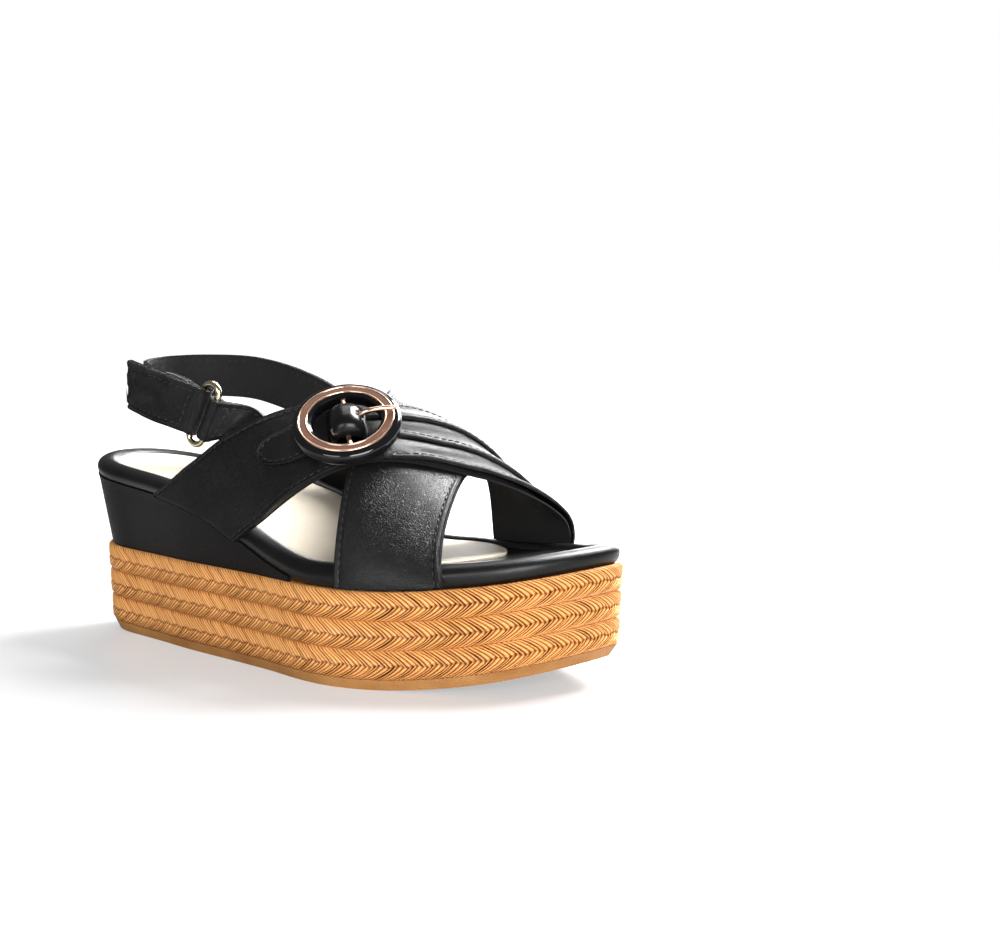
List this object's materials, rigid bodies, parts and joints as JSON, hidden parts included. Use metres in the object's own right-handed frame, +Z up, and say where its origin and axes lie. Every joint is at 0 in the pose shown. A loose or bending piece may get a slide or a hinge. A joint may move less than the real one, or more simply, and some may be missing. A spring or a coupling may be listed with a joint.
{
  "type": "wedge sandal",
  "caption": "Right-foot wedge sandal with rope-wrapped platform, crossed leather straps under a ring buckle, and an adjustable heel sling.",
  "frame": {"origin": "on the ground, under the middle of the bounding box", "axes": "+X from the heel to the toe, +Y towards the inner (big toe) side of the right foot, +Z up"},
  "size_m": [0.246, 0.1035, 0.1162],
  "materials": {
    "black_leather": "satin full-grain leather, fine pebble, black thread",
    "black_lining": "matt lining leather",
    "wedge_leather": "matt cover leather",
    "sock_leather": "cream sock lining leather",
    "rope": "plaited tan rope with dark crevices",
    "outsole_rubber": "tan rubber",
    "board": "pressed fibre board",
    "foam": "soft padding",
    "core": "agglomerated cork",
    "black_gloss": "polished black resin",
    "taupe_inlay": "brown enamel with rose gold rims",
    "rose_gold": "polished rose gold plating",
    "pale_gold": "polished pale gold plating",
    "hook_tape": "hook-and-loop tape"
  },
  "bodies": {
    "upper": {"outsole": "outsole_rubber", "platform_core": "core", "rope_row_bottom": "rope", "rope_row_middle": "rope", "rope_row_top": "rope", "heel_wedge": "core", "wedge_cover": "wedge_leather", "insole_board": "board", "footbed_foam": "foam", "footbed_skin": "black_leather", "sock_lining": "sock_leather", "footbed_edge": "black_leather", "under_strap_lining": "black_lining", "under_strap": "black_leather", "cross_strap_lining": "black_lining", "quarter_panel": "black_leather", "pleat_rear": "black_leather", "pleat_middle": "black_leather", "pleat_front": "black_leather", "buckle_tab": "black_leather", "buckle_loop": "black_leather"},
    "buckle": {"buckle_frame": "black_gloss", "buckle_inlay": "taupe_inlay", "buckle_bar": "rose_gold"},
    "prong": {"buckle_prong": "rose_gold"},
    "sling": {"sling_strap": "black_leather", "sling_lining": "black_lining", "loop_patch": "hook_tape", "ring_tab": "black_leather"},
    "oval_ring": {"sling_ring": "pale_gold"},
    "tail": {"sling_tail": "black_leather", "hook_patch": "hook_tape"}
  },
  "joints": [
    {"name": "buckle_tilt", "type": "hinge", "parent": "upper", "child": "buckle", "pos_m": [0.03306, -0.02652, 0.09448], "axis": [-0.5906, 0.5389, 0.6007], "range_deg": [-2, 2]},
    {"name": "prong_lift", "type": "hinge", "parent": "buckle", "child": "prong", "pos_m": [0.03306, -0.02652, 0.09448], "axis": [0.5906, -0.5389, -0.6007], "range_deg": [0, 95]},
    {"name": "sling_swing", "type": "hinge", "parent": "upper", "child": "sling", "pos_m": [-0.01479, 0.00603, 0.08986], "axis": [0, 0.9999, 0.0119], "range_deg": [-18, 35], "stiffness_Nm_per_rad": 0.3},
    {"name": "ring_swivel", "type": "hinge", "parent": "sling", "child": "oval_ring", "pos_m": [-0.03328, -0.03024, 0.09373], "axis": [0.443, 0.0099, 0.8965], "range_deg": [-4, 4]},
    {"name": "tail_peel", "type": "hinge", "parent": "sling", "child": "tail", "pos_m": [-0.04045, -0.0304, 0.09727], "axis": [0.443, 0.0099, 0.8965], "range_deg": [0, 90]}
  ]
}
